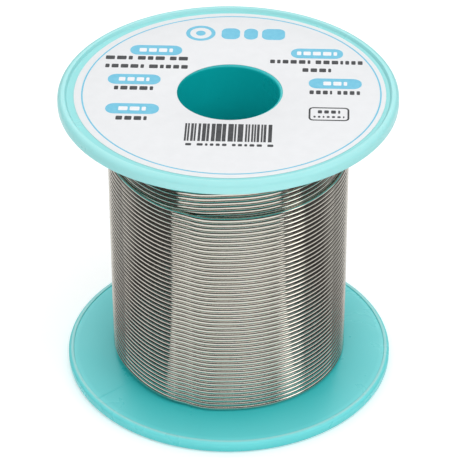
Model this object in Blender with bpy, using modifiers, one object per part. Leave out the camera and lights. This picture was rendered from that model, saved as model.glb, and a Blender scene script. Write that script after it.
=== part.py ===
"""A small reel of flux-cored solder wire.

The reel body is two plastic mouldings that plug together at mid height. Each one is a flange,
half of the hollow barrel and half of the tube round the bore, with ribs between them. The wire is
wound on the barrel in three layers, the outer one not full, and a round label lies in the recess
of the upper flange. The reel stands on its lower flange: the bore's axis is Z, and Z = 0 is the
plane it stands on.
"""

import math

import bmesh
import bpy
from mathutils import Matrix, Vector

MM = 0.001

# The whole reel
HEIGHT = 62.6 * MM
FLANGE_RADIUS = 32.5 * MM
BARREL_RADIUS = 20.65 * MM
BORE_RADIUS = 9.75 * MM
WALL = 2.25 * MM  # of the barrel and of the bore tube
SEGMENTS = 72  # round a turned piece

# A flange. Heights are from its outermost plane, which is the rim's land.
RECESS_DEPTH = 0.58 * MM
RECESS_RADIUS = 30.75 * MM
LAND_INNER_RADIUS = 31.1 * MM
OUTER_ROUND = 1.0 * MM
INNER_ROUND = 0.75 * MM
RIM_THICKNESS = 2.56 * MM
LIP_FOOT_RADIUS = 31.42 * MM
LIP_FOOT_HEIGHT = 2.32 * MM
FACE_TAPER = math.radians(5.8)
BORE_ROUND = 0.45 * MM
ARC_STEPS = 4

# Inside the barrel
CAVITY_FLOOR = 2.9 * MM
RIB_COUNT = 6
RIB_THICKNESS = 1.5 * MM
RIB_END_CLEARANCE = 2.3 * MM  # from a rib's end to the plane where the mouldings meet
RIB_EMBED = 0.8 * MM  # how far a rib's edges go into the walls it joins

# The plug joint at mid height
SPLIT = HEIGHT / 2
JOINT_GAP = 0.2 * MM
SPIGOT_LENGTH = 3.0 * MM
SPIGOT_THICKNESS = 0.95 * MM
SPIGOT_CLEARANCE = 0.15 * MM
SNAP_HEIGHT = 0.2 * MM
SNAP_HALF_WIDTH = 0.4 * MM

# The wire
WIRE_DIAMETER = 0.98 * MM
WIRE_PITCH = 0.99 * MM
LAYER_STEP = math.sqrt(WIRE_DIAMETER**2 - (WIRE_PITCH / 2) ** 2)
LAYER_GAP = 0.1 * MM
OUTER_LAYER_TOP = 48.9 * MM
FLUX_DIAMETER = 0.40 * MM
FLUX_HOLE_DIAMETER = 0.46 * MM
FLUX_LENGTH = 0.9 * MM
WIRE_POINT_SPACING = 2.0 * MM

# The wire's free end, which lies on the middle layer behind the reel
FREE_END_FROM = math.radians(150)
FREE_END_TO = math.radians(78)
FREE_END_RISE = 3.4 * MM
FREE_END_SPRING = 0.5 * MM  # how far the tip stands off the layer under it

# The wire's first end, which goes through a hole in the barrel
ANCHOR_HEIGHT = 4.4 * MM
ANCHOR_HOLE_DIAMETER = 1.7 * MM
ANCHOR_AZIMUTH = math.radians(90)
ANCHOR_REACH = 3.6 * MM
ANCHOR_BEND = 2.2 * MM
ANCHOR_TAIL = 2.0 * MM

# The label
LABEL_RADIUS = 29.68 * MM
LABEL_HOLE_RADIUS = 10.08 * MM
LABEL_THICKNESS = 0.12 * MM
LABEL_GAP = 0.05 * MM
LABEL_OFFSET = 0.32 * MM


def clear_scene():
    for item in list(bpy.data.objects):
        bpy.data.objects.remove(item, do_unlink=True)


def new_collection(name):
    collection = bpy.data.collections.new(name)
    bpy.context.scene.collection.children.link(collection)
    return collection


def new_material(name, colour, roughness, metallic):
    material = bpy.data.materials.new(name)
    material.use_nodes = True
    shader = material.node_tree.nodes["Principled BSDF"]
    shader.inputs["Base Color"].default_value = (*colour, 1.0)
    shader.inputs["Roughness"].default_value = roughness
    shader.inputs["Metallic"].default_value = metallic
    return material


def place(name, data, material, collection):
    item = bpy.data.objects.new(name, data)
    if material:
        data.materials.append(material)
    collection.objects.link(item)
    return item


def arc(centre, radius, start_deg, end_deg, steps=ARC_STEPS):
    """Points on an arc in the (radius, height) plane, both ends included."""
    angles = [math.radians(start_deg + (end_deg - start_deg) * k / steps) for k in range(steps + 1)]
    return [(centre[0] + radius * math.cos(a), centre[1] + radius * math.sin(a)) for a in angles]


def turned(name, profile, material, collection):
    """A ring turned round Z from a closed profile of (radius, height) points."""
    mesh = bpy.data.meshes.new(name)
    edges = [(k, (k + 1) % len(profile)) for k in range(len(profile))]
    mesh.from_pydata([(radius, 0.0, height) for radius, height in profile], edges, [])
    item = place(name, mesh, material, collection)
    screw = item.modifiers.new("Turn", "SCREW")
    screw.axis = "Z"
    screw.angle = math.tau
    screw.steps = screw.render_steps = SEGMENTS
    screw.use_merge_vertices = True
    screw.merge_threshold = 0.00001
    screw.use_smooth_shade = True
    return item


def combine(item, tool, operation):
    boolean = item.modifiers.new(tool.name, "BOOLEAN")
    boolean.operation = operation
    boolean.solver = "EXACT"
    boolean.object = tool


def as_tool(item):
    item.hide_render = True
    item.display_type = "WIRE"
    return item


def face_height(radius):
    """Height of a flange's tapered inner face above its outermost plane."""
    return LIP_FOOT_HEIGHT + (LIP_FOOT_RADIUS - radius) * math.tan(FACE_TAPER)


def flange_outline():
    """The lower flange, from the barrel's root over the rim to the bore's wall."""
    lip_top = (FLANGE_RADIUS - INNER_ROUND, RIM_THICKNESS - INNER_ROUND)
    foot = (FLANGE_RADIUS - OUTER_ROUND, OUTER_ROUND)
    mouth = (BORE_RADIUS + BORE_ROUND, RECESS_DEPTH + BORE_ROUND)
    recess_slope = (LAND_INNER_RADIUS - RECESS_RADIUS) / 3
    return [
        (BARREL_RADIUS, face_height(BARREL_RADIUS)),
        (LIP_FOOT_RADIUS, LIP_FOOT_HEIGHT),
        *arc(lip_top, INNER_ROUND, 110, 0),
        *arc(foot, OUTER_ROUND, 0, -90),
        (LAND_INNER_RADIUS, 0.0),
        (LAND_INNER_RADIUS - recess_slope, 0.12 * RECESS_DEPTH),
        (RECESS_RADIUS + recess_slope, 0.88 * RECESS_DEPTH),
        (RECESS_RADIUS, RECESS_DEPTH),
        *arc(mouth, BORE_ROUND, -90, -180, 3),
    ]


def inner_outline(barrel_end):
    """From the bore's wall over the bore tube and the cavity's floor to the barrel's end."""
    tube_end = SPLIT - JOINT_GAP / 2
    return [
        (BORE_RADIUS, tube_end),
        (BORE_RADIUS + WALL, tube_end),
        (BORE_RADIUS + WALL, CAVITY_FLOOR),
        (BARREL_RADIUS - WALL, CAVITY_FLOOR),
        *barrel_end,
    ]


def snap(radius, height):
    """A low bead on the spigot, or the groove that it springs into."""
    return [
        (radius, height + SNAP_HALF_WIDTH),
        (radius + SNAP_HEIGHT, height),
        (radius, height - SNAP_HALF_WIDTH),
    ]


def ribs(name, low, high, collection):
    """Radial walls between the bore tube and the barrel, as separate boxes in one mesh."""
    inner = BORE_RADIUS + WALL - RIB_EMBED
    outer = BARREL_RADIUS - WALL + RIB_EMBED
    build = bmesh.new()
    for k in range(RIB_COUNT):
        size = Matrix.Diagonal((outer - inner, RIB_THICKNESS, high - low, 1.0))
        move = Matrix.Translation(((inner + outer) / 2, 0.0, (low + high) / 2))
        turn = Matrix.Rotation(math.tau * k / RIB_COUNT, 4, "Z")
        bmesh.ops.create_cube(build, size=1.0, matrix=turn @ move @ size)
    mesh = bpy.data.meshes.new(name)
    build.to_mesh(mesh)
    build.free()
    return as_tool(place(name, mesh, None, collection))


def rod(name, start, end, diameter, sides, material, collection):
    """A straight round bar from start to end."""
    along = end - start
    build = bmesh.new()
    bmesh.ops.create_cone(
        build,
        cap_ends=True,
        segments=sides,
        radius1=diameter / 2,
        radius2=diameter / 2,
        depth=along.length,
        matrix=Matrix.Translation((start + end) / 2) @ along.to_track_quat("Z", "Y").to_matrix().to_4x4(),
    )
    mesh = bpy.data.meshes.new(name)
    build.to_mesh(mesh)
    build.free()
    return place(name, mesh, material, collection)


def wire_mesh(name, points, material, collection):
    """A wire along the points, as a closed mesh that a modifier can cut."""
    curve = bpy.data.curves.new(name, "CURVE")
    curve.dimensions = "3D"
    curve.bevel_depth = WIRE_DIAMETER / 2
    curve.bevel_resolution = 2
    curve.use_fill_caps = True
    spline = curve.splines.new("POLY")
    spline.points.add(len(points) - 1)
    for point, place_at in zip(spline.points, points, strict=True):
        point.co = (*place_at, 1.0)
    guide = place(name + "_curve", curve, None, collection)
    graph = bpy.context.evaluated_depsgraph_get()
    mesh = bpy.data.meshes.new_from_object(guide.evaluated_get(graph))
    bpy.data.objects.remove(guide, do_unlink=True)
    build = bmesh.new()
    build.from_mesh(mesh)
    bmesh.ops.remove_doubles(build, verts=build.verts, dist=0.00001)
    bmesh.ops.recalc_face_normals(build, faces=build.faces)
    build.to_mesh(mesh)
    build.free()
    mesh.name = name
    mesh.materials.clear()
    return place(name, mesh, material, collection)


def lower_half(plastic, parts, tools):
    """Flange, barrel and bore tube below the joint, with the spigot that plugs upwards."""
    bore_side = BARREL_RADIUS - WALL
    spigot_radius = bore_side + SPIGOT_THICKNESS
    spigot_top = SPLIT + SPIGOT_LENGTH
    shoulder = SPLIT - JOINT_GAP / 2
    barrel_end = [
        (bore_side, spigot_top),
        (spigot_radius, spigot_top),
        *snap(spigot_radius, SPLIT + SPIGOT_LENGTH / 2),
        (spigot_radius, shoulder),
        (BARREL_RADIUS, shoulder),
    ]
    profile = [*flange_outline(), *inner_outline(barrel_end)]
    item = turned("spool_lower_half", profile, plastic, parts)
    combine(item, ribs("lower_ribs", CAVITY_FLOOR - RIB_EMBED, SPLIT - RIB_END_CLEARANCE, tools), "UNION")
    outward = Vector((math.cos(ANCHOR_AZIMUTH), math.sin(ANCHOR_AZIMUTH), 0.0))
    at_height = Vector((0.0, 0.0, ANCHOR_HEIGHT))
    hole = rod(
        "anchor_hole",
        at_height + outward * (bore_side - WALL / 2),
        at_height + outward * (BARREL_RADIUS + WALL / 2),
        ANCHOR_HOLE_DIAMETER,
        16,
        None,
        tools,
    )
    combine(item, as_tool(hole), "DIFFERENCE")
    return item


def upper_half(plastic, parts, tools):
    """The same moulding upside down, with a socket for the spigot in place of one."""
    socket_radius = BARREL_RADIUS - WALL + SPIGOT_THICKNESS + SPIGOT_CLEARANCE
    socket_floor = SPLIT - SPIGOT_LENGTH - JOINT_GAP
    barrel_end = [
        (BARREL_RADIUS - WALL, socket_floor),
        (socket_radius, socket_floor),
        *reversed(snap(socket_radius, SPLIT - SPIGOT_LENGTH / 2)),
        (socket_radius, SPLIT - JOINT_GAP / 2),
        (BARREL_RADIUS, SPLIT - JOINT_GAP / 2),
    ]
    upright = [*flange_outline(), *inner_outline(barrel_end)]
    profile = [(radius, HEIGHT - height) for radius, height in reversed(upright)]
    item = turned("spool_upper_half", profile, plastic, parts)
    low = SPLIT + SPIGOT_LENGTH + RIB_END_CLEARANCE
    combine(item, ribs("upper_ribs", low, HEIGHT - CAVITY_FLOOR + RIB_EMBED, tools), "UNION")
    return item


def layer_radii(layer):
    """Inner and outer radius of the sleeve that one layer of turns fills, from 0 at the barrel."""
    centre = BARREL_RADIUS + WIRE_DIAMETER / 2 + layer * LAYER_STEP
    inner = centre - LAYER_STEP / 2 + LAYER_GAP / 2
    outer = centre + LAYER_STEP / 2 - LAYER_GAP / 2
    if layer == 0:
        inner = BARREL_RADIUS + LAYER_GAP
    if layer == 2:
        outer = centre + WIRE_DIAMETER / 2
    return inner, outer


def wire_layer(name, layer, top, solder, parts):
    inner, outer = layer_radii(layer)
    low = face_height(inner) + LAYER_GAP
    high = top or HEIGHT - low
    profile = [(outer, high), (outer, low), (inner, low), (inner, high)]
    return turned(name, profile, solder, parts)


def free_end_route():
    """From the end of the outer layer's last turn, up and away to the cut tip."""
    radius = BARREL_RADIUS + WIRE_DIAMETER / 2 + 2 * LAYER_STEP
    start = OUTER_LAYER_TOP + LAYER_GAP + WIRE_DIAMETER / 2
    sweep = FREE_END_TO - FREE_END_FROM
    count = round(abs(sweep) * radius / WIRE_POINT_SPACING)
    points = []
    for k in range(count + 1):
        share = k / count
        out = radius + FREE_END_SPRING * share**4
        angle = FREE_END_FROM + sweep * share
        height = start + FREE_END_RISE * share**1.6
        points.append(Vector((out * math.cos(angle), out * math.sin(angle), height)))
    return points


def anchor_route():
    """From the first turn, through the barrel's hole, then bent aside in the cavity."""
    inward = Vector((-math.cos(ANCHOR_AZIMUTH), -math.sin(ANCHOR_AZIMUTH), 0.0))
    aside = Vector((-math.sin(ANCHOR_AZIMUTH), math.cos(ANCHOR_AZIMUTH), 0.0))
    start = Vector((0.0, 0.0, ANCHOR_HEIGHT)) - inward * (BARREL_RADIUS - LAYER_GAP)
    points = [start + inward * (ANCHOR_REACH * k / 2) for k in range(3)]
    turn_centre = points[-1] + aside * ANCHOR_BEND
    for k in range(1, 7):
        angle = math.radians(90) * k / 6
        points.append(turn_centre + ANCHOR_BEND * (inward * math.sin(angle) - aside * math.cos(angle)))
    points.append(points[-1] + aside * ANCHOR_TAIL)
    return points


def free_end(solder, flux, parts, tools):
    """The cut end of the wire, hollow at its tip where the flux core shows."""
    route = free_end_route()
    item = wire_mesh("wire_free_end", route, solder, parts)
    tip = route[-1]
    back = (route[-2] - tip).normalized()
    hole = rod(
        "flux_hole",
        tip - back * FLUX_LENGTH,
        tip + back * (FLUX_LENGTH + LAYER_GAP),
        FLUX_HOLE_DIAMETER,
        12,
        None,
        tools,
    )
    combine(item, as_tool(hole), "DIFFERENCE")
    rod("flux_core", tip + back * LAYER_GAP / 2, tip + back * FLUX_LENGTH, FLUX_DIAMETER, 12, flux, parts)
    return item


def label(film, parts):
    top = HEIGHT - RECESS_DEPTH + LABEL_GAP + LABEL_THICKNESS
    bottom = top - LABEL_THICKNESS
    profile = [
        (LABEL_RADIUS, top),
        (LABEL_RADIUS, bottom),
        (LABEL_HOLE_RADIUS, bottom),
        (LABEL_HOLE_RADIUS, top),
    ]
    item = turned("face_label", profile, film, parts)
    item.location.x = LABEL_OFFSET
    return item


def main():
    clear_scene()
    parts = new_collection("solder_wire_spool")
    tools = new_collection("cutters")
    plastic = new_material("spool_plastic", (0.17, 0.66, 0.64), 0.38, 0.0)
    solder = new_material("solder_wire", (0.62, 0.60, 0.57), 0.3, 1.0)
    film = new_material("label_film", (0.88, 0.89, 0.92), 0.45, 0.0)
    flux = new_material("flux_resin", (0.75, 0.55, 0.22), 0.25, 0.0)

    lower_half(plastic, parts, tools)
    upper_half(plastic, parts, tools)
    wire_layer("wire_layer_inner", 0, None, solder, parts)
    wire_layer("wire_layer_middle", 1, None, solder, parts)
    wire_layer("wire_layer_outer", 2, OUTER_LAYER_TOP, solder, parts)
    wire_mesh("wire_anchor_end", anchor_route(), solder, parts)
    free_end(solder, flux, parts, tools)
    label(film, parts)


main()
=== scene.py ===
"""The looks of a small reel of flux-cored solder wire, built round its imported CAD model.

Two plastic mouldings that plug together, one length of wire wound on them in three layers with
its free end behind the reel, and a printed label in the recess of the upper flange.
"""

import math

import bmesh
import bpy
import numpy as np
from mathutils import Matrix, Vector


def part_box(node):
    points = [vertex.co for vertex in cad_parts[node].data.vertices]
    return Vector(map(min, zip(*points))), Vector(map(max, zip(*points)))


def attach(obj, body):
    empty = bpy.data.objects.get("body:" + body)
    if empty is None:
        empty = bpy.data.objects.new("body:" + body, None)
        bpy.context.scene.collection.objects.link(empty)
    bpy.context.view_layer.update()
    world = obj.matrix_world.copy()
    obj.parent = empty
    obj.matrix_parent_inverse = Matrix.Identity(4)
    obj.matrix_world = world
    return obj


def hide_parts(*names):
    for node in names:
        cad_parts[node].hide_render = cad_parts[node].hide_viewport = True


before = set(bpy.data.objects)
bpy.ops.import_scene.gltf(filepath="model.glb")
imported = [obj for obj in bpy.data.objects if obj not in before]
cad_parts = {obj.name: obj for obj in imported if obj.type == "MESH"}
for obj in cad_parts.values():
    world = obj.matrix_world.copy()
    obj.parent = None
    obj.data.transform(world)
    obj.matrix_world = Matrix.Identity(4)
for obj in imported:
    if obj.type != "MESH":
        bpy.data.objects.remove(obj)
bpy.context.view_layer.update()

MM = 0.001
BODY = "root"

# Sizes that the CAD nodes' own boxes give
lower_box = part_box("spool_lower_half")
upper_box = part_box("spool_upper_half")
label_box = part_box("face_label")
HEIGHT = upper_box[1].z
FLANGE_RADIUS = lower_box[1].x
LABEL_CENTRE_X = (label_box[0].x + label_box[1].x) / 2
LABEL_RADIUS = (label_box[1].x - label_box[0].x) / 2

# Sizes that the boxes don't give, the same as the CAD model's except where a comment says so
BARREL_RADIUS = 20.65 * MM
BORE_RADIUS = 9.75 * MM
WALL = 2.25 * MM
RECESS_DEPTH = 0.58 * MM
RECESS_RADIUS = 30.75 * MM
LAND_INNER_RADIUS = 31.1 * MM
OUTER_ROUND = 1.0 * MM
INNER_ROUND = 0.75 * MM
RIM_THICKNESS = 2.56 * MM
LIP_FOOT_RADIUS = 31.42 * MM
LIP_FOOT_HEIGHT = 2.32 * MM
FACE_TAPER = math.radians(5.8)
BORE_ROUND = 0.45 * MM
CAVITY_FLOOR = 2.9 * MM
RIB_COUNT = 6
RIB_THICKNESS = 1.5 * MM
RIB_END_CLEARANCE = 2.3 * MM
RIB_EMBED = 0.8 * MM
SPLIT = HEIGHT / 2
JOINT_GAP = 0.06 * MM  # the mouldings are pushed home, so less than the CAD model's
SPIGOT_LENGTH = 3.0 * MM
SPIGOT_THICKNESS = 0.95 * MM
SPIGOT_CLEARANCE = 0.15 * MM
SNAP_HEIGHT = 0.2 * MM
SNAP_HALF_WIDTH = 0.4 * MM
SOCKET_FLOOR_GAP = 0.2 * MM  # from the spigot's end
ANCHOR_HEIGHT = 4.4 * MM
ANCHOR_HOLE_DIAMETER = 1.7 * MM
LABEL_HOLE_RADIUS = 10.08 * MM

# The label's film
FILM_THICKNESS = 0.1 * MM
FILM_ROUND = 0.03 * MM
LABEL_BOTTOM = HEIGHT - RECESS_DEPTH  # the film lies on the recess's floor
LABEL_TOP = LABEL_BOTTOM + FILM_THICKNESS

# How fine the turned mouldings are
SEGMENTS = 216
ARC_STEPS = 9
SOFT_EDGE = 0.12 * MM  # radius of the small rounds on moulded edges
SUPPORT = 0.25 * MM  # from the end of a straight run to the point that keeps its shading flat

# The mould's parting lines: low ridges on each flange's inner face and rim
PARTING_AZIMUTHS = (math.radians(215), math.radians(35))
RIDGE_HEIGHT = 0.05 * MM
RIDGE_HALF_ANGLE = 0.0045
RIDGE_FADE = 5  # points of the outline over which a ridge runs out

# The wire
WIRE_DIAMETER = 0.98 * MM
WIRE_RADIUS = WIRE_DIAMETER / 2
LAYER_STEP = 0.8464 * MM  # less than the diameter, because turns lie in grooves
LAYER_RADII = [BARREL_RADIUS + WIRE_RADIUS + n * LAYER_STEP for n in range(3)]
OUTER_FIRST = 3.70 * MM  # height of the outer layer's first turn
OUTER_LAST = 48.15 * MM  # and of its last one, on the right side
OUTER_STEPS = 45
PITCH = (OUTER_LAST - OUTER_FIRST) / OUTER_STEPS
MIDDLE_LAST = OUTER_FIRST + PITCH / 2
MIDDLE_STEPS = 55
MIDDLE_FIRST = MIDDLE_LAST + MIDDLE_STEPS * PITCH
INNER_STEPS = 54
INNER_FIRST = MIDDLE_FIRST - PITCH / 2 - INNER_STEPS * PITCH
POINTS_PER_TURN = (64, 96, 96)
WIRE_SIDES = (8, 10, 14)
TIP_SIDES = 24
BACK = -180.0  # degrees clockwise from the front, where the layers start
RISING_JOG = (2.0, 62.0)  # start and width of the place where a turn steps up
FALLING_JOG = (-4.0, 36.0)
ANCHOR_SETTLES = 40.0  # degrees over which the wire leaves its anchor hole's height
INNER_CROSSING = 40.0  # degrees over which it crosses to the middle layer
MIDDLE_CROSSING = 35.0  # and to the outer one
CROSSING_LEAD = 20.0  # the crossing to the outer layer ends this far before the back
OUTER_SETTLES = 90.0  # degrees over which the outer turns start to wander
WAVE = 0.02 * MM  # how far they wander from their radius
FREE_END_FROM = 120.0  # degrees clockwise from the front
FREE_END_TO = 192.0
FREE_END_RISE = 3.75 * MM
FREE_END_SPRING = 0.5 * MM
FLUX_RADIUS = 0.21 * MM
FLUX_HOLE_RADIUS = 0.23 * MM
FLUX_DEPTH = 0.9 * MM
FLUX_SUNK = 0.14 * MM  # from the cut to the edge of the core's dome
FLUX_DOME = 0.07 * MM

# The print on the label; places are shares of the flange's radius
INK = 0.015 * MM  # how far the print stands off the film
PRINT_TILT = math.radians(-2.4)
RING_RADIUS = 28.4 * MM
RING_WIDTH = 0.3 * MM
RING_X = 0.6 * MM
PILL_SIZE = (0.312 * FLANGE_RADIUS, 0.113 * FLANGE_RADIUS)
PILLS = (  # place, half the width of its marks, and how many marks
    (-0.431, 0.476, 0.10, 4),
    (0.532, 0.429, 0.12, 5),
    (-0.554, 0.143, 0.09, 4),
    (0.629, 0.085, 0.07, 3),
    (-0.557, -0.183, 0.08, 3),
)
PRINT_LINES = (  # start, end, height, and how many marks each group has
    (-0.73, -0.24, 0.385, (3, 3, 2)),
    (-0.73, -0.24, 0.290, (5, 5)),
    (-0.67, -0.44, 0.045, (5,)),
    (-0.65, -0.47, -0.285, (4,)),
    (0.25, 0.80, 0.330, (6, 7)),
    (0.44, 0.61, 0.238, (4,)),
    (0.475, 0.77, -0.015, (4, 4)),
)
MARK_DEPTH = 1.35 * MM
MARK_GAP = 0.42 * MM
MARK_WIDTHS = (0.62, 1.0, 0.78, 0.45, 0.92, 0.70, 1.05, 0.55)
GROUP_GAP = 1.0 * MM
CODE_HALF_WIDTH = 0.25 * FLANGE_RADIUS
CODE_DEPTH = 0.186 * FLANGE_RADIUS
BAR_WIDTHS = (0.36, 0.70, 0.34, 1.00, 0.48)  # in mm, as the gaps
BAR_GAPS = (0.17, 0.28, 0.15, 0.38)

# The studio, in metres
LIGHT_TARGET = (0.0, 0.0, 0.03)
SCREEN_RADIUS = 0.7
CLOTH_INNER_RADIUS = 0.034
CLOTH_HEIGHT = 0.0005


# ---------------------------------------------------------------- materials

# Painted shade and light on one plastic: deep turquoise where the bore and hub are shaded, paler
# where the flanges are lit.
SHADED_TURQUOISE = ((0.001, 0.470, 0.485), (0.003, 0.505, 0.520))  # round the bore
LOWER_LIT_TURQUOISE = ((0.150, 0.713, 0.728), (0.177, 0.748, 0.763))
# Painted light: the upper moulding's copy of the same plastic is paler, as if more strongly lit.
UPPER_LIT_TURQUOISE = ((0.330, 0.745, 0.745), (0.370, 0.775, 0.775))
# Painted light: the lower plastic pales over these distances towards the lit rim.
LOWER_LIGHT_DISTANCES = (20.0 * MM, 30.0 * MM)  # distances from the axis over which the plastic pales
BEYOND_THE_RIM = (1.0, 2.0)  # distances that no point of the reel reaches
# Painted shade: the lower flange's side and underside, low down near the floor, stay deep
# turquoise.
LOWER_PAINTED_SHADE = ((-0.2 * MM, 2.4 * MM), BEYOND_THE_RIM)
# Painted light and shade: the lip is painted paler where it catches the light, and the recess and
# the face inside it deeper where they are shaded.
LIP_LIGHT_DISTANCES = (30.3 * MM, 31.2 * MM)  # the lip is paler than the face inside it
FACE_SHADED_SHARE = 0.70  # of that face, as a share of the lip's
# Painted highlight: a pale line along the lower lip's crest.
LOWER_CREST_HIGHLIGHT = (2.46 * MM, 2.54 * MM)  # heights over which the lower lip's crest turns pale
CREST_HIGHLIGHT_DISTANCES = (31.3 * MM, 31.45 * MM)  # and distances from the axis
# Painted light: the upper plastic pales over these distances, out of the shaded bore.
UPPER_LIGHT_DISTANCES = (11.0 * MM, 20.0 * MM)
# Painted shade: the upper flange's underside over the winding stays deep turquoise.
UPPER_PAINTED_SHADE = ((60.4 * MM, 61.4 * MM), (31.2 * MM, 32.3 * MM))
CLOTH_BLACK = ((0.010, 0.010, 0.010), (0.016, 0.016, 0.016))
SIDE_GREY = (0.045, 0.045, 0.045)
BACK_GREY = (0.95, 0.95, 0.95)
WHITE = (1.0, 1.0, 1.0, 1.0)


class Shader:
    """A material's Principled shader with short calls for the nodes in front of it."""

    def __init__(self, name):
        self.material = bpy.data.materials.new(name)
        self.material.use_nodes = True
        self.tree = self.material.node_tree
        self.main = self.tree.nodes["Principled BSDF"]
        self.coords = self.tree.nodes.new("ShaderNodeTexCoord")

    def set(self, **values):
        """Numbers and colours on the Principled shader's own sockets."""
        for key, value in values.items():
            self.main.inputs[key.replace("_", " ")].default_value = value

    def node(self, kind, **values):
        made = self.tree.nodes.new(kind)
        for key, value in values.items():
            made.inputs[key.replace("_", " ")].default_value = value
        return made

    def link(self, start, end):
        self.tree.links.new(start, end)

    def noise(self, scale, detail=3.0, stretch=(1, 1, 1), space="Object"):
        mapping = self.node("ShaderNodeMapping", Scale=stretch)
        self.link(self.coords.outputs[space], mapping.inputs["Vector"])
        made = self.node("ShaderNodeTexNoise", Scale=scale, Detail=detail)
        self.link(mapping.outputs["Vector"], made.inputs["Vector"])
        return made.outputs["Fac"]

    def ramp(self, fac, low, high, start=0.3, end=0.7):
        """From low to high while fac goes from start to end."""
        made = self.tree.nodes.new("ShaderNodeMapRange")
        made.inputs["From Min"].default_value = start
        made.inputs["From Max"].default_value = end
        made.inputs["To Min"].default_value = low
        made.inputs["To Max"].default_value = high
        self.link(fac, made.inputs["Value"])
        return made.outputs["Result"]

    def from_axis(self, operation):
        """A vector operation on the level vector from the reel's axis."""
        flat = self.tree.nodes.new("ShaderNodeVectorMath")
        flat.operation = "MULTIPLY"
        flat.inputs[1].default_value = (1, 1, 0)
        self.link(self.coords.outputs["Object"], flat.inputs[0])
        made = self.tree.nodes.new("ShaderNodeVectorMath")
        made.operation = operation
        self.link(flat.outputs["Vector"], made.inputs[0])
        return made

    def calculate(self, operation, first, second):
        made = self.tree.nodes.new("ShaderNodeMath")
        made.operation = operation
        self.link(first, made.inputs[0])
        self.link(second, made.inputs[1])
        return made.outputs["Value"]

    def mix(self, fac, first, second):
        """A mix of two colours, each a tuple or another node's output."""
        made = self.tree.nodes.new("ShaderNodeMix")
        made.data_type = "RGBA"
        for socket, value in ((made.inputs[6], first), (made.inputs[7], second)):
            if isinstance(value, tuple):
                socket.default_value = (*value, 1.0)
            else:
                self.link(value, socket)
        self.link(fac, made.inputs[0])
        return made.outputs[2]

    def height(self):
        """How high each point of the reel is."""
        axes = self.tree.nodes.new("ShaderNodeSeparateXYZ")
        self.link(self.coords.outputs["Object"], axes.inputs[0])
        return axes.outputs["Z"]

    def colour(self, fac, first, second):
        self.link(self.mix(fac, first, second), self.main.inputs["Base Color"])

    def bump(self, height, distance, strength=1.0, before=None):
        """Relief on the shader, on top of the relief before it if there is one."""
        made = self.node("ShaderNodeBump", Strength=strength, Distance=distance)
        self.link(height, made.inputs["Height"])
        if before:
            self.link(before, made.inputs["Normal"])
        self.link(made.outputs["Normal"], self.main.inputs["Normal"])
        return made.outputs["Normal"]


def plastic_material(name, flange, light_distances, painted_shade, crest=None):
    """Moulded polystyrene, deep turquoise round the bore and paler out on the flanges: painted
    shade in the bore and painted light on the flanges.

    A painted shade is (heights, distances): below the first and inside the second the plastic
    stays deep, as painted shade.
    """
    s = Shader(name)
    s.set(IOR=1.55, Subsurface_Weight=0.1, Subsurface_Scale=0.0012)
    s.main.inputs["Subsurface Radius"].default_value = (0.3, 1.0, 1.0)
    flow = s.noise(55, 3, (1, 1, 0.35))
    tone = s.ramp(flow, 0.0, 1.0, 0.15, 0.85)
    # Painted shade for the bore and painted light for the flanges, as two copies of one plastic.
    deep = s.mix(tone, *SHADED_TURQUOISE)
    pale = s.mix(tone, *flange)
    distance = s.from_axis("LENGTH").outputs["Value"]
    height = s.height()
    # Painted shade: below these heights and inside these distances the plastic stays deep.
    heights, distances = painted_shade
    above = s.ramp(height, 0.0, 1.0, *heights)
    outside = s.ramp(distance, 0.0, 1.0, *distances)
    # Painted light: paler further out from the axis.
    lit_share = s.ramp(distance, 0.0, 1.0, *light_distances)
    lit_share = s.calculate("MULTIPLY", lit_share, s.calculate("MAXIMUM", above, outside))
    # Painted light on the lip, painted shade on the face inside it.
    lip = s.ramp(distance, FACE_SHADED_SHARE, 1.0, *LIP_LIGHT_DISTANCES)
    lit_share = s.calculate("MULTIPLY", lit_share, lip)
    # Painted highlight: the crest takes the upper moulding's lit colour.
    if crest:
        high = s.ramp(height, 0.0, 1.0, *crest)
        rim = s.ramp(distance, 0.0, 1.0, *CREST_HIGHLIGHT_DISTANCES)
        body = s.mix(lit_share, deep, pale)
        s.colour(s.calculate("MULTIPLY", high, rim), body, UPPER_LIT_TURQUOISE[0])
    else:
        s.colour(lit_share, deep, pale)
    rub = s.noise(160, 4)
    s.link(s.ramp(rub, 0.22, 0.37, 0.0, 1.0), s.main.inputs["Roughness"])
    grain = s.bump(s.noise(2600, 2), 0.0008 * MM, 0.3)
    s.bump(flow, 0.02 * MM, 0.2, grain)
    return s.material


def solder_material():
    """Drawn tin alloy: bright, with fine lines along the wire and slightly duller stretches."""
    s = Shader("drawn_solder")
    s.set(Metallic=1.0)
    lines = s.noise(1.0, 3, (9, 22, 1), "UV")
    patches = s.noise(90, 2)
    tone = s.ramp(lines, 0.0, 1.0, 0.3, 0.7)
    streaked = s.mix(tone, (0.630, 0.602, 0.538), (0.715, 0.684, 0.616))
    s.colour(s.ramp(patches, 0.0, 0.35), streaked, (0.572, 0.542, 0.484))
    s.link(s.ramp(lines, 0.06, 0.11), s.main.inputs["Roughness"])
    s.bump(lines, 0.003 * MM, 0.5)
    return s.material


def film_material():
    """White label film with a faint mottle and a satin face."""
    s = Shader("label_film")
    mottle = s.noise(420, 4)
    s.colour(s.ramp(mottle, 0.0, 1.0), (0.762, 0.772, 0.788), (0.786, 0.795, 0.812))
    s.link(s.ramp(s.noise(1500, 2), 0.40, 0.50), s.main.inputs["Roughness"])
    s.bump(mottle, 0.02 * MM, 0.4)
    return s.material


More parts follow.
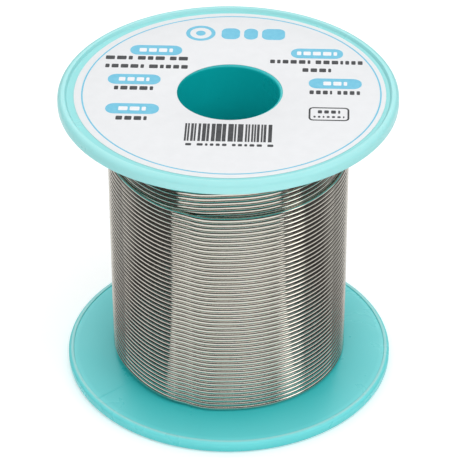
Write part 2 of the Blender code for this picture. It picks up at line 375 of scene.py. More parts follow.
def ink_material(name, colour, worn):
    """Print ink: even colour with the small density changes of a screen print."""
    s = Shader(name)
    s.set(Specular_IOR_Level=0.25)
    s.colour(s.ramp(s.noise(1100, 3), 0.0, 1.0, 0.35, 0.75), colour, worn)
    s.link(s.ramp(s.noise(2400, 2), 0.34, 0.46), s.main.inputs["Roughness"])
    s.bump(s.noise(5200, 2), 0.004 * MM, 0.5)
    return s.material


def rosin_material():
    """Amber rosin, cloudy and a little pitted."""
    s = Shader("rosin_flux")
    s.set(IOR=1.53, Subsurface_Weight=0.4, Subsurface_Scale=0.0004)
    cloud = s.noise(4200, 3)
    s.colour(s.ramp(cloud, 0.0, 1.0), (0.56, 0.30, 0.06), (0.72, 0.46, 0.14))
    s.link(s.ramp(cloud, 0.16, 0.34), s.main.inputs["Roughness"])
    s.bump(cloud, 0.02 * MM, 0.5)
    return s.material


def floor_material():
    """Pale card with a weak glow of its own, so that it stays near white."""
    s = Shader("pale_floor")
    s.colour(s.ramp(s.noise(3, 3), 0.0, 1.0), (0.93, 0.93, 0.93), (0.95, 0.95, 0.95))
    s.link(s.ramp(s.noise(40, 3), 0.75, 0.9), s.main.inputs["Roughness"])
    s.set(Specular_IOR_Level=0.1, Emission_Strength=0.22, Emission_Color=WHITE)
    return s.material


def cloth(name, glow):
    """A screen's black cloth, which glows evenly."""
    s = Shader(name)
    s.set(Roughness=1.0, Specular_IOR_Level=0.0, Emission_Strength=glow, Emission_Color=WHITE)
    s.colour(s.noise(30), *CLOTH_BLACK)
    return s


def graded_cloth():
    """Cloth that is dark beside the reel and a lighter grey towards the back."""
    s = cloth("flag_cloth", 1.0)
    axes = s.tree.nodes.new("ShaderNodeSeparateXYZ")
    s.link(s.from_axis("NORMALIZE").outputs["Vector"], axes.inputs[0])
    shade = s.mix(s.ramp(axes.outputs["Y"], 0.0, 1.0, -0.05, 0.72), SIDE_GREY, BACK_GREY)
    s.link(shade, s.main.inputs["Emission Color"])
    return s


# ---------------------------------------------------------------- mesh helpers


def link_object(name, data, material=None):
    """A new object in the scene, with its material."""
    made = bpy.data.objects.new(name, data)
    bpy.context.scene.collection.objects.link(made)
    if material:
        data.materials.append(material)
    return made


def piece(made, replaces=()):
    """Rides on the reel and stands for the CAD nodes that it hides."""
    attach(made, BODY)
    if replaces:
        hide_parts(*replaces)
    return made


def arc(centre, radius, start_deg, end_deg, steps=ARC_STEPS):
    """Points on an arc in an outline's plane, both ends included."""
    angles = [
        math.radians(start_deg + (end_deg - start_deg) * k / steps)
        for k in range(steps + 1)
    ]
    return [
        (centre[0] + radius * math.cos(a), centre[1] + radius * math.sin(a))
        for a in angles
    ]


def circle(centre, radius, sides):
    return [
        (
            centre[0] + radius * math.cos(math.tau * k / sides),
            centre[1] + radius * math.sin(math.tau * k / sides),
        )
        for k in range(sides)
    ]


def softened(before, corner, after, radius=SOFT_EDGE, steps=3):
    """A corner of an outline as a small round."""
    c = Vector(corner)
    a, b = (Vector(before) - c).normalized(), (Vector(after) - c).normalized()
    half = a.angle(b) / 2
    back = radius / math.tan(half)
    start, end = c + a * back, c + b * back
    centre = c + (a + b).normalized() * (radius / math.sin(half))
    points = []
    for k in range(steps + 1):
        towards = (start - centre).lerp(end - centre, k / steps).normalized()
        points.append(tuple(centre + towards * radius))
    return points


def supported(points, reach=SUPPORT):
    """The outline with extra points near both ends of its long straight runs.

    They keep the shading flat along a run.
    """
    made = [points[0]]
    for start, end in zip(points, points[1:], strict=False):
        a, b = Vector(start), Vector(end)
        if (b - a).length > 4 * reach:
            step = (b - a).normalized() * reach
            made += [tuple(a + step), tuple(b - step)]
        made.append(end)
    return made


def outward(profile):
    """The outward normal at each point of a closed outline of (radius, height) points."""
    count = len(profile)
    area = sum(
        profile[k][0] * profile[(k + 1) % count][1]
        - profile[(k + 1) % count][0] * profile[k][1]
        for k in range(count)
    )
    side = 1 if area > 0 else -1
    normals = []
    for k in range(count):
        along = Vector(profile[(k + 1) % count]) - Vector(profile[k - 1])
        normals.append(Vector((along.y, -along.x)).normalized() * side)
    return normals


def column_angles(marks=()):
    """The azimuths of a turned mesh's columns, with extra ones at each parting line."""
    angles = {math.tau * k / SEGMENTS for k in range(SEGMENTS)}
    for mark in marks:
        near = {a for a in angles if abs(a - mark) < 3 * RIDGE_HALF_ANGLE}
        angles -= near
        angles |= {mark + k * RIDGE_HALF_ANGLE for k in range(-2, 3)}
    return sorted(angles)


def turned(name, profile, ridged=(), marks=()):
    """A ring turned round Z from a closed outline.

    The outline's ridged points stand out at each mark, less and less towards their end.
    """
    normals = outward(profile)
    angles = column_angles(marks)
    rows, verts, faces = len(profile), [], []
    for angle in angles:
        lift = RIDGE_HEIGHT if angle in marks else 0.0
        for k, (radius, height) in enumerate(profile):
            if lift and k in ridged:
                share = lift * min(1.0, (len(ridged) - 1 - k) / RIDGE_FADE)
                radius += normals[k].x * share
                height += normals[k].y * share
            verts.append((radius * math.cos(angle), radius * math.sin(angle), height))
    for column in range(len(angles)):
        here, there = column * rows, (column + 1) % len(angles) * rows
        for k in range(rows):
            up = (k + 1) % rows
            faces.append((here + k, there + k, there + up, here + up))
    mesh = bpy.data.meshes.new(name)
    mesh.from_pydata(verts, [], faces)
    facing_out(mesh)
    return mesh


def as_mesh(build, name):
    """The finished bmesh as a mesh."""
    mesh = bpy.data.meshes.new(name)
    build.to_mesh(mesh)
    build.free()
    return mesh


def facing_out(mesh):
    """Turns the faces of a closed mesh outwards."""
    build = bmesh.new()
    build.from_mesh(mesh)
    bmesh.ops.recalc_face_normals(build, faces=build.faces)
    build.to_mesh(mesh)
    build.free()


def smooth(mesh, sharp_deg=32):
    """Smooth shading, with edges over an angle kept sharp."""
    mesh.polygons.foreach_set("use_smooth", [True] * len(mesh.polygons))
    mesh.set_sharp_from_angle(angle=math.radians(sharp_deg))
    mesh.update()


def combined(mesh, tools):
    """The mesh after union or difference with each (tool mesh, operation)."""
    item = link_object("combining", mesh)
    others = []
    for tool, operation in tools:
        other = link_object("combining_tool", tool)
        others.append(other)
        boolean = item.modifiers.new("combine", "BOOLEAN")
        boolean.operation, boolean.solver, boolean.object = operation, "EXACT", other
    graph = bpy.context.evaluated_depsgraph_get()
    result = bpy.data.meshes.new_from_object(item.evaluated_get(graph))
    for spent in [item, *others]:
        bpy.data.objects.remove(spent, do_unlink=True)
    return result


# ---------------------------------------------------------------- the mouldings


def face_height(radius):
    """Height of the lower flange's inner face, which slopes up from the lip to the barrel."""
    return LIP_FOOT_HEIGHT + (LIP_FOOT_RADIUS - radius) * math.tan(FACE_TAPER)


def flange_outline():
    """The lower flange, from the barrel's root over the rim to the bore's wall."""
    lip_top = (FLANGE_RADIUS - INNER_ROUND, RIM_THICKNESS - INNER_ROUND)
    foot = (FLANGE_RADIUS - OUTER_ROUND, OUTER_ROUND)
    mouth = (BORE_RADIUS + BORE_ROUND, RECESS_DEPTH + BORE_ROUND)
    root = (BARREL_RADIUS, face_height(BARREL_RADIUS))
    lip_foot = (LIP_FOOT_RADIUS, LIP_FOOT_HEIGHT)
    inner_round = arc(lip_top, INNER_ROUND, 110, 0)
    land_inner = (LAND_INNER_RADIUS, 0.0)
    recess_edge = (RECESS_RADIUS, RECESS_DEPTH)
    ridged = supported([root, lip_foot, *inner_round])
    rest = [
        *arc(foot, OUTER_ROUND, 0, -90),
        *softened((LAND_INNER_RADIUS + MM, 0.0), land_inner, recess_edge),
        *softened(land_inner, recess_edge, (RECESS_RADIUS - MM, RECESS_DEPTH)),
        *arc(mouth, BORE_ROUND, -90, -180, 6),
    ]
    return [*ridged, *supported(rest)], set(range(len(ridged)))


def inner_outline(barrel_end):
    """From the bore's wall over the bore tube and the cavity's floor to the barrel's end."""
    tube_end = SPLIT - JOINT_GAP / 2
    tube = BORE_RADIUS + WALL
    cavity = BARREL_RADIUS - WALL
    return [
        (BORE_RADIUS, RECESS_DEPTH + BORE_ROUND + SUPPORT),
        (BORE_RADIUS, tube_end - 2 * SOFT_EDGE),
        *softened((BORE_RADIUS, 0), (BORE_RADIUS, tube_end), (tube, tube_end)),
        (tube, tube_end),
        (tube, CAVITY_FLOOR),
        (cavity, CAVITY_FLOOR),
        *barrel_end,
    ]


def snap(radius, height):
    """The outline of a snap ridge, or of the groove it springs into."""
    return [
        (radius, height + SNAP_HALF_WIDTH),
        (radius + SNAP_HEIGHT, height),
        (radius, height - SNAP_HALF_WIDTH),
    ]


def rib_ring(low, high):
    """The ribs between the bore tube and the barrel, as separate boxes in one mesh."""
    inner = BORE_RADIUS + WALL - RIB_EMBED
    outer = BARREL_RADIUS - WALL + RIB_EMBED
    build = bmesh.new()
    for k in range(RIB_COUNT):
        size = Matrix.Diagonal((outer - inner, RIB_THICKNESS, high - low, 1.0))
        move = Matrix.Translation(((inner + outer) / 2, 0.0, (low + high) / 2))
        turn = Matrix.Rotation(math.tau * k / RIB_COUNT, 4, "Z")
        bmesh.ops.create_cube(build, size=1.0, matrix=turn @ move @ size)
    return as_mesh(build, "ribs")


def hole_tool():
    """A round bar through the barrel's wall at the back, for the wire's first end."""
    build = bmesh.new()
    bmesh.ops.create_cone(
        build,
        cap_ends=True,
        segments=32,
        radius1=ANCHOR_HOLE_DIAMETER / 2,
        radius2=ANCHOR_HOLE_DIAMETER / 2,
        depth=2 * WALL,
        matrix=Matrix.Translation((0, BARREL_RADIUS - WALL / 2, ANCHOR_HEIGHT))
        @ Matrix.Rotation(math.radians(90), 4, "X"),
    )
    return as_mesh(build, "hole")


def lower_moulding(material):
    """The moulding that stands on the table, with the spigot and the anchor hole."""
    cavity = BARREL_RADIUS - WALL
    spigot = cavity + SPIGOT_THICKNESS
    shoulder = SPLIT - JOINT_GAP / 2
    barrel_end = [
        (cavity, SPLIT + SPIGOT_LENGTH),
        (spigot, SPLIT + SPIGOT_LENGTH),
        *snap(spigot, SPLIT + SPIGOT_LENGTH / 2),
        (spigot, shoulder),
        (BARREL_RADIUS, shoulder),
    ]
    flange, ridged = flange_outline()
    mesh = turned("lower", [*flange, *inner_outline(barrel_end)], ridged, PARTING_AZIMUTHS)
    ribs = rib_ring(CAVITY_FLOOR - RIB_EMBED, SPLIT - RIB_END_CLEARANCE)
    mesh = combined(mesh, [(ribs, "UNION"), (hole_tool(), "DIFFERENCE")])
    smooth(mesh)
    made = link_object("reel_lower_moulding", mesh, material)
    return piece(made, ["spool_lower_half"])


def upper_moulding(material):
    """The moulding with the label's recess up, pushed home on the lower one's spigot."""
    socket = BARREL_RADIUS - WALL + SPIGOT_THICKNESS + SPIGOT_CLEARANCE
    floor = SPLIT - SPIGOT_LENGTH - SOCKET_FLOOR_GAP
    barrel_end = [
        (BARREL_RADIUS - WALL, floor),
        (socket, floor),
        *reversed(snap(socket, SPLIT - SPIGOT_LENGTH / 2)),
        (socket, SPLIT - JOINT_GAP / 2),
        (BARREL_RADIUS, SPLIT - JOINT_GAP / 2),
    ]
    flange, ridged = flange_outline()
    upright = [*flange, *inner_outline(barrel_end)]
    profile = [(radius, HEIGHT - height) for radius, height in upright]
    mesh = turned("upper", profile, ridged, PARTING_AZIMUTHS)
    ribs = rib_ring(SPLIT + SPIGOT_LENGTH + RIB_END_CLEARANCE, HEIGHT - CAVITY_FLOOR + RIB_EMBED)
    mesh = combined(mesh, [(ribs, "UNION")])
    smooth(mesh)
    made = link_object("reel_upper_moulding", mesh, material)
    return piece(made, ["spool_upper_half"])


# ---------------------------------------------------------------- the wire


def eased(share):
    """A share from 0 to 1 with a slow start and end."""
    share = np.clip(share, 0.0, 1.0)
    return share * share * (3 - 2 * share)


def stepped(turned_deg, jog):
    """How many pitches a layer has stepped by an angle, as a smooth staircase."""
    start, width = jog
    whole = np.floor((turned_deg - start) / 360)
    return whole + eased((turned_deg - start - 360 * whole) / width)


def perched(own, under):
    """Extra radius of a turn where it rides up from a groove of the layer under it."""
    off = np.abs((own - under) / PITCH - np.round((own - under) / PITCH)) * 2
    return (WIRE_DIAMETER - LAYER_STEP) * np.cos(np.clip(off, 0, 1) * np.pi / 2) ** 1.2


def swing(start, end, pivot, share):
    """From start to end round a pivot, in the (radius, height) plane."""
    a, b = np.subtract(start, pivot), np.subtract(end, pivot)
    reach = np.hypot(*a) + (np.hypot(*b) - np.hypot(*a)) * share
    first, last = math.atan2(a[1], a[0]) % math.tau, math.atan2(b[1], b[0]) % math.tau
    angle = first + (last - first) * share
    return pivot[0] + reach * np.cos(angle), pivot[1] + reach * np.sin(angle)


def inner_height(deg):
    return INNER_FIRST + PITCH * stepped(deg, RISING_JOG)


def middle_height(deg):
    return MIDDLE_FIRST - PITCH * stepped(deg, FALLING_JOG)


def outer_height(deg):
    return OUTER_FIRST + PITCH * stepped(deg, RISING_JOG)


def waviness(deg, size):
    """Small smooth changes of radius along the wire, the same on every run."""
    turn = deg / 360
    return size * (
        0.5 * np.sin(deg * 0.083 + 2.1 * np.sin(turn * 1.7))
        + 0.3 * np.sin(deg * 0.031 + 1.3 + turn * 0.9)
        + 0.2 * np.sin(deg * 0.19 + turn * 2.3)
    )


def inner_path():
    """The inner layer, from the anchor hole up to the crossing to the middle one."""
    deg = np.linspace(BACK, BACK + 360 * INNER_STEPS, POINTS_PER_TURN[0] * INNER_STEPS + 1)
    radius = np.full_like(deg, LAYER_RADII[0])
    height = inner_height(deg)
    height += (ANCHOR_HEIGHT - INNER_FIRST) * (1 - eased((deg - BACK) / ANCHOR_SETTLES))
    share = eased((deg - (deg[-1] - INNER_CROSSING)) / INNER_CROSSING)
    crossing = share > 0
    radius[crossing], height[crossing] = swing(
        (LAYER_RADII[0], MIDDLE_FIRST - PITCH / 2),
        (LAYER_RADII[1], MIDDLE_FIRST),
        (LAYER_RADII[1], MIDDLE_FIRST - PITCH),
        share[crossing],
    )
    return deg, radius, height


def middle_path():
    """The middle layer, with the crossing to the outer one at its end."""
    end = BACK - CROSSING_LEAD + 360 * MIDDLE_STEPS
    deg = np.linspace(BACK, end, POINTS_PER_TURN[1] * MIDDLE_STEPS + 1)
    height = middle_height(deg)
    radius = LAYER_RADII[1] + perched(height, inner_height(deg))
    share = eased((deg - (end - MIDDLE_CROSSING)) / MIDDLE_CROSSING)
    crossing = share > 0
    radius[crossing], height[crossing] = swing(
        (LAYER_RADII[1], MIDDLE_LAST),
        (LAYER_RADII[2], OUTER_FIRST),
        (LAYER_RADII[2], OUTER_FIRST + PITCH),
        share[crossing],
    )
    return deg, radius, height


def on_middle(deg, height):
    """Radius of wire that lies on the middle layer."""
    under = middle_height(deg)
    return (
        LAYER_RADII[1]
        + perched(under, inner_height(deg))
        + LAYER_STEP
        + perched(height, under)
    )


def outer_path():
    """The outer layer, up to where the free end leaves it."""
    start = BACK - CROSSING_LEAD
    end = 360 * OUTER_STEPS + FREE_END_FROM
    deg = np.linspace(start, end, round(POINTS_PER_TURN[2] * (end - start) / 360) + 1)
    height = outer_height(deg)
    radius = on_middle(deg, height)
    radius += waviness(deg, WAVE) * eased((deg - start) / OUTER_SETTLES)
    return deg, radius, height


def free_end_path():
    """The wire's last stretch, which climbs and springs away from the winding."""
    start = 360 * OUTER_STEPS + FREE_END_FROM
    sweep = FREE_END_TO - FREE_END_FROM
    deg = np.linspace(start, start + sweep, 61)
    share = (deg - start) / sweep
    height = outer_height(np.array([start]))[0] + FREE_END_RISE * share**1.6
    radius = on_middle(deg, height) + FREE_END_SPRING * share**4
    radius += waviness(deg, WAVE)
    return deg, radius, height


def spatial(deg, radius, height):
    """Clockwise angle from the front, radius and height as points and radial directions."""
    angle = -np.pi / 2 - np.radians(deg)
    radial = np.stack([np.cos(angle), np.sin(angle), np.zeros_like(angle)], axis=1)
    points = radial * radius[:, None]
    points[:, 2] = height
    return points, radial


def unit(rows):
    """Each row as a vector of length 1."""
    return rows / np.linalg.norm(rows, axis=1, keepdims=True)


def ring_frames(points, guide):
    """Two directions across a path at each point; the first leans towards guide."""
    tangents = unit(np.gradient(points, axis=0))
    across = unit(guide - tangents * np.sum(guide * tangents, axis=1, keepdims=True))
    return tangents, across, np.cross(tangents, across)


def length_uvs(mesh, points, sides):
    """UVs of a tube: the length along it in cm and the share round it.

    The side faces come first in the mesh. A hollow tip's points take the last ring's last value.
    """
    length = np.concatenate([[0], np.cumsum(np.linalg.norm(np.diff(points, axis=0), axis=1))])
    along = np.repeat(length, sides) / MM / 10
    corners = np.zeros(len(mesh.loops), np.int32)
    mesh.loops.foreach_get("vertex_index", corners)
    inside = np.minimum(corners, len(points) * sides - 1)
    uv = np.stack([along[inside], (inside % sides) / sides], axis=1).astype(np.float32)
    side_corners = (len(points) - 1) * sides * 4
    quads = uv[:side_corners].reshape(-1, 4, 2)
    wraps = quads[:, 0, 1] > quads[:, 1, 1]
    quads[wraps, 1:3, 1] = 1.0
    uv[:side_corners] = quads.reshape(-1, 2)
    layer = mesh.uv_layers.new(name="along_wire")
    layer.data.foreach_set("uv", uv.ravel())


def tube(name, points, guide, sides, hollow_tip=False):
    """A closed round bar along the points; a hollow tip has a blind hole for the flux core."""
    tangents, across, over = ring_frames(points, guide)
    round_it = np.pi + math.tau * np.arange(sides) / sides
    ring = (
        np.cos(round_it)[None, :, None] * across[:, None, :]
        + np.sin(round_it)[None, :, None] * over[:, None, :]
    )
    verts = (points[:, None, :] + ring * WIRE_RADIUS).reshape(-1, 3)
    rows = len(points)
    low = np.arange((rows - 1) * sides).reshape(rows - 1, sides)
    side = np.roll(low, -1, axis=1)
    faces = np.stack([low, side, side + sides, low + sides], axis=2).reshape(-1, 4)
    caps = [tuple(range(sides))[::-1]]
    if hollow_tip:
        base = (rows - 1) * sides
        lip = points[-1] + ring[-1] * FLUX_HOLE_RADIUS
        foot = lip - tangents[-1] * FLUX_DEPTH
        count = len(verts)
        verts = np.concatenate([verts, lip, foot])
        for first, second in ((base, count), (count, count + sides)):
            for k in range(sides):
                nxt = (k + 1) % sides
                caps.append((first + k, first + nxt, second + nxt, second + k))
        caps.append(tuple(count + sides + k for k in range(sides)))
    else:
        caps.append(tuple((rows - 1) * sides + k for k in range(sides)))
    mesh = bpy.data.meshes.new(name)
    mesh.from_pydata(verts.tolist(), [], [*faces.tolist(), *caps])
    length_uvs(mesh, points, sides)
    facing_out(mesh)
    smooth(mesh, 50)
    return mesh


# ---------------------------------------------------------------- the label


def label_disc(material):
    """The film: a thin round disc with a hole, its edges slightly rounded."""
    r = FILM_ROUND
    outline = [
        *arc((LABEL_RADIUS - r, LABEL_TOP - r), r, 90, 0, 3),
        *arc((LABEL_RADIUS - r, LABEL_BOTTOM + r), r, 0, -90, 3),
        *arc((LABEL_HOLE_RADIUS + r, LABEL_BOTTOM + r), r, -90, -180, 3),
        *arc((LABEL_HOLE_RADIUS + r, LABEL_TOP - r), r, 180, 90, 3),
    ]
    mesh = turned("label_disc", outline)
    mesh.transform(Matrix.Translation((LABEL_CENTRE_X, 0, 0)))
    smooth(mesh)
    made = link_object("label_disc", mesh, material)
    return piece(made, ["face_label"])


def rounded_box(centre, width, depth, corner, steps=5):
    """The outline of a rounded rectangle."""
    x, y = centre
    corner = min(corner, width / 2, depth / 2)
    points = []
    for sx, sy, start in ((1, 1, 0), (-1, 1, 90), (-1, -1, 180), (1, -1, 270)):
        middle = (x + sx * (width / 2 - corner), y + sy * (depth / 2 - corner))
        points += arc(middle, corner, start, start + 90, steps)
    return points


def band(build, first, second):
    """Faces between two rings of as many points."""
    for a in range(len(first)):
        b = (a + 1) % len(first)
        build.faces.new((first[a], first[b], second[b], second[a]))


def untilted(x, y):
    """The place in the print's own frame that lies here once the print is tilted."""
    return Matrix.Rotation(-PRINT_TILT, 2) @ Vector((x * FLANGE_RADIUS, y * FLANGE_RADIUS))


def print_on(name, shapes, material, level=0, tilt=PRINT_TILT):
    """Raised flat print: each shape is an outline, or a pair of outlines for a frame."""
    base = LABEL_TOP + level * INK
    build = bmesh.new()
    for shape in shapes:
        loops = shape if isinstance(shape[0], list) else [shape]
        lows, highs = (
            [[build.verts.new((x, y, height)) for x, y in loop] for loop in loops]
            for height in (base, base + INK)
        )
        for low, high in zip(lows, highs, strict=True):
            band(build, low, high)
        for rings in (lows, highs):
            if len(rings) == 1:
                build.faces.new(rings[0])
            else:
                band(build, *rings)
    bmesh.ops.recalc_face_normals(build, faces=build.faces)
    mesh = as_mesh(build, name)
    mesh.transform(Matrix.Rotation(tilt, 4, "Z"))
    return piece(link_object(name, mesh, material))


def blocks(start, end, y, depth, pattern, gap):
    """A row of rounded blocks of the given relative widths."""
    room = end - start - gap * (len(pattern) - 1)
    x, shapes = start, []
    for part in pattern:
        width = room * part / sum(pattern)
        shapes.append(rounded_box((x + width / 2, y), width, depth, depth * 0.32))
        x += width + gap
    return shapes


def small_marks(start, end, y, depth, groups):
    """A line of small solid blocks in groups, which stands for a line of print."""
    room = end - start - GROUP_GAP * (len(groups) - 1)
    x, shapes, k = start, [], groups[0]
    for count in groups:
        marks = [MARK_WIDTHS[(k * 3 + n * 5) % len(MARK_WIDTHS)] for n in range(count)]
        width = room * count / sum(groups)
        share = (width - MARK_GAP * (count - 1)) / sum(marks)
        for size in marks:
            w = size * share
            shapes.append(rounded_box((x + w / 2, y), w, depth, 0.22 * MM, 3))
            x += w + MARK_GAP
        x += GROUP_GAP - MARK_GAP
        k += count
    return shapes


def print_ring_line(blue):
    """The thin line near the film's outer edge."""
    rings = [circle((RING_X, 0.0), RING_RADIUS + k * RING_WIDTH / 2, 180) for k in (-1, 1)]
    print_on("label_ring_line", [rings], blue, tilt=0.0)


def print_pills(blue, white):
    """Blue pills with white marks on them."""
    pills, marks = [], []
    for x, y, half_width, count in PILLS:
        centre = untilted(x, y)
        pills.append(rounded_box(centre, *PILL_SIZE, PILL_SIZE[1] * 0.46))
        half = half_width * FLANGE_RADIUS
        marks += small_marks(centre.x - half, centre.x + half, centre.y, MARK_DEPTH, (count,))
    print_on("label_pills", pills, blue)
    print_on("label_pill_marks", marks, white, level=1)


def print_text_lines(black):
    """The lines of marks beside the pills, and the small one under the code bars."""
    lines = []
    for start, end, y, groups in PRINT_LINES:
        centre = untilted((start + end) / 2, y)
        half = (end - start) / 2 * FLANGE_RADIUS
        lines += small_marks(centre.x - half, centre.x + half, centre.y, MARK_DEPTH, groups)
    x, y = untilted(0.005, -0.575)
    lines += small_marks(x - CODE_HALF_WIDTH, x + CODE_HALF_WIDTH, y, 0.8 * MM, (1, 5, 5, 1))
    print_on("label_print_lines", lines, black)


def print_boxed_mark(black):
    """Two short lines of marks in a thin rounded frame."""
    x, y = untilted(0.581, -0.25)
    wide, deep = 0.235 * FLANGE_RADIUS, 0.144 * FLANGE_RADIUS
    edge = 0.35 * MM
    outer = rounded_box((x, y), wide, deep, 0.9 * MM)
    inner = rounded_box((x, y), wide - 2 * edge, deep - 2 * edge, 0.6 * MM)
    lines = [
        *small_marks(x - 2.1 * MM, x + 2.1 * MM, y + 0.75 * MM, 1.1 * MM, (4,)),
        *small_marks(x - 2.9 * MM, x + 2.9 * MM, y - 1.0 * MM, 0.65 * MM, (7,)),
    ]
    print_on("label_boxed_mark", [[outer, inner], *lines], black)


def print_code_bars(black):
    """A row of plain bars that encode nothing."""
    middle, y = untilted(0.0, -0.446)
    x = middle - CODE_HALF_WIDTH
    bars = []
    while x < middle + CODE_HALF_WIDTH - 0.3 * MM:
        k = len(bars)
        width = BAR_WIDTHS[(k * 7 + k // 3) % len(BAR_WIDTHS)] * MM
        gap = BAR_GAPS[(k * 5 + k // 4) % len(BAR_GAPS)] * MM
        bars.append(rounded_box((x + width / 2, y), width, CODE_DEPTH, 0.02 * MM, 1))
        x += width + gap
    print_on("label_code_bars", bars, black)


def print_heading(blue):
    """A plain sign: a ring with a dot, and three blocks."""
    x, y = untilted(-0.165, 0.675)
    outer, inner, dot = (circle((x, y), radius * MM, 64) for radius in (2.9, 2.1, 0.95))
    row = blocks(x + 4.1 * MM, x + 16.6 * MM, y, 4.2 * MM, (4, 3, 5), 0.8 * MM)
    print_on("label_heading", [[outer, inner], dot, *row], blue)


def label_print(blue, black, white):
    """All that is printed on the film, one kind of mark after the other."""
    print_ring_line(blue)
    print_pills(blue, white)
    print_text_lines(black)
    print_boxed_mark(black)
    print_code_bars(black)
    print_heading(blue)


# ---------------------------------------------------------------- the scene


def wire(solder):
    """The three layers and the free end; gives the free end's points."""
    layers = (inner_path(), middle_path(), outer_path())
    names = ("wire_turns_inner", "wire_turns_middle", "wire_turns_outer")
    nodes = ("wire_layer_inner", "wire_layer_middle", "wire_layer_outer")
    for n, (name, node, path) in enumerate(zip(names, nodes, layers, strict=True)):
        mesh = tube(name, *spatial(*path), WIRE_SIDES[n])
        piece(link_object(name, mesh, solder), [node])
    points, radial = spatial(*free_end_path())
    mesh = tube("wire_cut_end", points, radial, TIP_SIDES, hollow_tip=True)
    piece(link_object("wire_cut_end", mesh, solder), ["wire_free_end"])
    return points


def flux(points, material):
    """The rosin core that shows in the wire's cut end, a little sunken and domed."""
    along = Vector(points[-1] - points[-2]).normalized()
    turn = along.to_track_quat("Z", "Y").to_matrix().to_4x4()
    bottom = 0.02 * MM - FLUX_DEPTH
    outline = [(0.0, bottom), (FLUX_RADIUS, bottom)]
    for angle in map(math.radians, (0, 18, 36, 54, 72)):
        height = FLUX_DOME * math.sin(angle) - FLUX_SUNK
        outline.append((FLUX_RADIUS * math.cos(angle), height))
    outline.append((0.0, FLUX_DOME - FLUX_SUNK))
    build = bmesh.new()
    rings = []
    for radius, height in outline:
        if radius == 0:
            rings.append([build.verts.new((0, 0, height))] * TIP_SIDES)
        else:
            ring = circle((0, 0), radius, TIP_SIDES)
            rings.append([build.verts.new((x, y, height)) for x, y in ring])
    for low, high in zip(rings, rings[1:], strict=False):
        for k in range(TIP_SIDES):
            nxt = (k + 1) % TIP_SIDES
            corners = (low[k], low[nxt], high[nxt], high[k])
            build.faces.new(list(dict.fromkeys(corners)))
    bmesh.ops.recalc_face_normals(build, faces=build.faces)
    mesh = as_mesh(build, "rosin_core")
    mesh.transform(Matrix.Translation(Vector(points[-1])) @ turn)
    smooth(mesh, 50)
    piece(link_object("rosin_core", mesh, material), ["flux_core"])


def floor():
    """A pale floor, far larger than the reel."""
    build = bmesh.new()
    bmesh.ops.create_grid(build, x_segments=8, y_segments=8, size=3.0)
    link_object("studio_floor", as_mesh(build, "studio_floor"), floor_material())


def soft_light(name, place, size, power):
    """A rectangular light that faces the reel."""
    data = bpy.data.lights.new(name, "AREA")
    data.shape = "RECTANGLE"
    data.size, data.size_y = size
    data.energy = power
    made = link_object(name, data)
    made.location = place
    towards = Vector(LIGHT_TARGET) - Vector(place)
    made.rotation_euler = towards.to_track_quat("-Z", "Y").to_euler()
    made.visible_camera = False


def screen(name, start_deg, end_deg, outline, material):
    """A screen or floor cloth curved round the reel, which only reflections show.

    Its ends are in degrees anticlockwise from the front, and its outline in (radius, height).
    """
    steps = 16
    verts, faces = [], []
    for k in range(steps + 1):
        a = math.radians(-90 + start_deg + (end_deg - start_deg) * k / steps)
        for radius, height in outline:
            verts.append((radius * math.cos(a), radius * math.sin(a), height))
    count = len(outline)
    for k in range(steps):
        for n in range(count - 1):
            here = k * count + n
            faces.append((here, here + count, here + count + 1, here + 1))
    mesh = bpy.data.meshes.new(name)
    mesh.from_pydata(verts, [], faces)
    made = link_object(name, mesh, material)
    made.visible_camera = False
    made.visible_shadow = False
    made.visible_diffuse = False


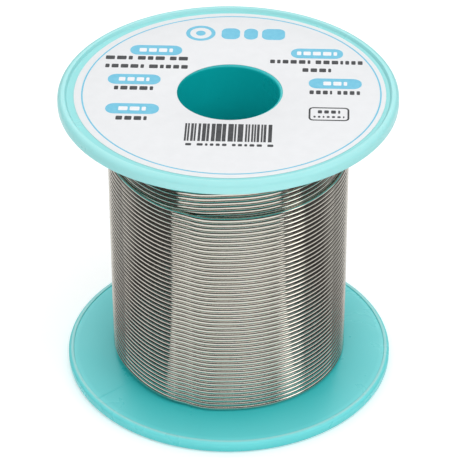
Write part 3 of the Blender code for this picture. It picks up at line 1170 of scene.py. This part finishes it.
def studio():
    """White surroundings, three soft lights, the floor, and the screens that the wire reflects."""
    world = bpy.data.worlds.new("studio")
    bpy.context.scene.world = world
    world.use_nodes = True
    surroundings = world.node_tree.nodes["Background"]
    surroundings.inputs["Color"].default_value = WHITE
    surroundings.inputs["Strength"].default_value = 0.38
    soft_light("overhead_softbox", (0.0, 0.0, 0.85), (2.7, 1.3), 8.0)
    soft_light("front_softbox", (0.30, -0.75, 0.78), (2.1, 0.6), 6.0)
    soft_light("back_softbox", (0.0, 0.95, 0.70), (1.1, 0.45), 2.2)
    graded = graded_cloth().material
    grey = cloth("grey_cloth", 0.20).material
    dark = cloth("dark_cloth", 0.04).material
    front = cloth("front_cloth", 0.035).material
    level = [(CLOTH_INNER_RADIUS, CLOTH_HEIGHT), (SCREEN_RADIUS, CLOTH_HEIGHT)]
    screen("floor_cloth_left", -180, -42, level, graded)
    screen("floor_cloth_right", 55, 180, level, graded)
    screen("floor_cloth_soft_edge", 47, 55, level, grey)
    screen("screen_left", -75, -42, [(SCREEN_RADIUS, 0.0), (SCREEN_RADIUS, 0.45)], dark)
    screen("screen_round", 56, 285, [(SCREEN_RADIUS, 0.0), (SCREEN_RADIUS, 0.27)], dark)
    screen("screen_front", -42, 56, [(SCREEN_RADIUS, 0.0), (SCREEN_RADIUS, 1.0)], front)
    floor()
    bpy.context.scene.view_settings.view_transform = "Standard"


def camera():
    """A long lens looking down on the reel from the front."""
    data = bpy.data.cameras.new("camera")
    data.sensor_width = 36.0
    data.lens = 204.31
    data.clip_start, data.clip_end = 0.01, 20
    elevation, roll = math.radians(34.6886), math.radians(-0.151)
    distance = 0.51211
    target = Vector((0.08 * MM, 0.0, 30.37 * MM))
    back = Vector((0.0, -math.cos(elevation), math.sin(elevation)))
    up = Vector((0.0, math.sin(elevation), math.cos(elevation)))
    level = Vector((1.0, 0.0, 0.0))
    right = level * math.cos(roll) + up * math.sin(roll)
    over = up * math.cos(roll) - level * math.sin(roll)
    turn = Matrix((right, over, back)).transposed().to_4x4()
    made = link_object("camera", data)
    made.matrix_world = Matrix.Translation(target + back * distance) @ turn
    bpy.context.scene.camera = made


def main():
    solder = solder_material()
    lower_moulding(
        plastic_material(
            "turquoise_plastic_lower", LOWER_LIT_TURQUOISE, LOWER_LIGHT_DISTANCES, LOWER_PAINTED_SHADE, LOWER_CREST_HIGHLIGHT
        )
    )
    # Painted light: the upper moulding takes the paler, lit copy of the plastic.
    upper_moulding(
        plastic_material("turquoise_plastic_upper", UPPER_LIT_TURQUOISE, UPPER_LIGHT_DISTANCES, UPPER_PAINTED_SHADE)
    )
    tip = wire(solder)
    flux(tip, rosin_material())
    # This CAD node is kept, because it is hidden in the hollow and has its right shape.
    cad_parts["wire_anchor_end"].material_slots[0].material = solder
    label_disc(film_material())
    label_print(
        ink_material("ink_sky_blue", (0.145, 0.510, 0.700), (0.185, 0.560, 0.740)),
        ink_material("ink_black", (0.030, 0.032, 0.036), (0.060, 0.063, 0.068)),
        ink_material("ink_white", (0.860, 0.870, 0.890), (0.800, 0.815, 0.840)),
    )
    studio()
    camera()


main()
